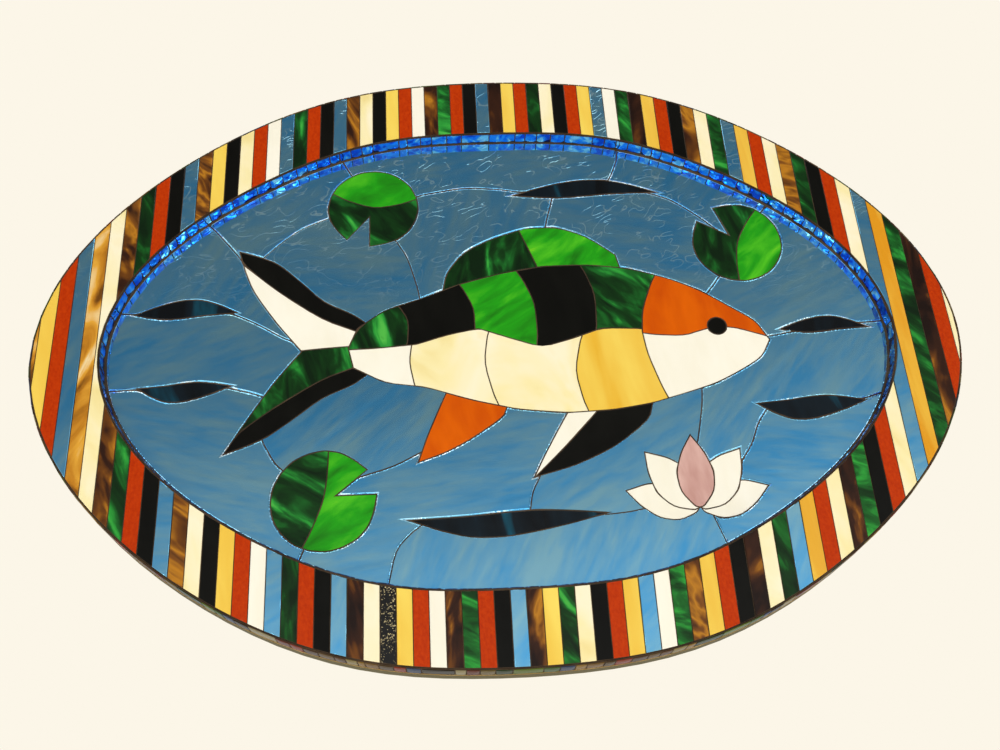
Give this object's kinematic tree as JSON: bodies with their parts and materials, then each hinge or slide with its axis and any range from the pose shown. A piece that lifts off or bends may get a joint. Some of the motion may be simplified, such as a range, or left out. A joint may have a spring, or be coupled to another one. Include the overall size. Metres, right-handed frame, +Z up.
{
  "type": "mosaic panel",
  "caption": "Oval wall panel: a raised rim faced with upright stained glass strips and mirror tiles around a sunk stained glass picture of a fish in water.",
  "frame": {"origin": "middle of the flat back, which lies against the wall", "axes": "+Y into the wall, so the panel faces -Y; +X along the oval's length to the viewer's right; +Z up"},
  "size_m": [0.893, 0.0342, 0.627],
  "materials": {
    "black_glass": "opaque black glass, glossy",
    "blue_mirror_tiles": "silvered cobalt glass, hammered and mirror bright",
    "bright_green_glass": "bright streaky green glass, glossy",
    "cream_glass": "opaque cream glass with yellow swirls, glossy",
    "edge_tiles": "opaque stained glass offcuts of many colours, glossy",
    "green_glass": "dark streaky green glass, glossy",
    "grout": "dark brown grout and adhesive",
    "night_glass": "nearly black blue glass with teal streaks, glossy",
    "orange_glass": "opaque orange glass, glossy",
    "plywood": "bare sawn plywood, olive and ochre at its edge",
    "rim_glass": "opaque stained glass strips in red, yellow, cream, white, green, blue, brown and black, glossy",
    "rosy_glass": "pale rose glass, glossy",
    "water_glass": "streaky blue glass with pale wisps, high gloss",
    "white_glass": "opaque white glass, glossy",
    "yellow_glass": "opaque yellow glass, glossy"
  },
  "bodies": {
    "root": {"base_board": "plywood", "dorsal_fin_1": "green_glass", "dorsal_fin_2": "bright_green_glass", "fish_back_1": "green_glass", "fish_back_2": "black_glass", "fish_back_3": "bright_green_glass", "fish_back_4": "black_glass", "fish_back_5": "green_glass", "fish_belly_1": "white_glass", "fish_belly_2": "cream_glass", "fish_belly_3": "cream_glass", "fish_belly_4": "yellow_glass", "fish_cheek": "white_glass", "fish_eye": "black_glass", "fish_forehead": "orange_glass", "inner_wall_tiles": "blue_mirror_tiles", "lily_pad_left_1": "green_glass", "lily_pad_left_2": "bright_green_glass", "lily_pad_lower_1": "green_glass", "lily_pad_lower_2": "bright_green_glass", "lily_pad_right_1": "green_glass", "lily_pad_right_2": "bright_green_glass", "outer_wall_tiles": "edge_tiles", "pectoral_fin_1": "black_glass", "pectoral_fin_2": "white_glass", "pelvic_fin": "orange_glass", "petal_left": "white_glass", "petal_low_left": "white_glass", "petal_low_right": "white_glass", "petal_middle": "rosy_glass", "petal_right": "white_glass", "picture_bed": "grout", "rim_board": "plywood", "rim_strips": "rim_glass", "ripple_1": "night_glass", "ripple_2": "night_glass", "ripple_3": "night_glass", "ripple_4": "night_glass", "ripple_5": "night_glass", "ripple_6": "night_glass", "tail_1": "black_glass", "tail_2": "white_glass", "tail_3": "green_glass", "tail_4": "black_glass", "water_pane_01": "water_glass", "water_pane_02": "water_glass", "water_pane_03": "water_glass", "water_pane_04": "water_glass", "water_pane_05": "water_glass", "water_pane_06": "water_glass", "water_pane_07": "water_glass", "water_pane_08": "water_glass", "water_pane_09": "water_glass", "water_pane_10": "water_glass", "water_pane_11": "water_glass", "water_pane_12": "water_glass", "water_pane_13": "water_glass", "water_pane_14": "water_glass", "water_pane_15": "water_glass", "water_pane_16": "water_glass"}
  },
  "joints": []
}
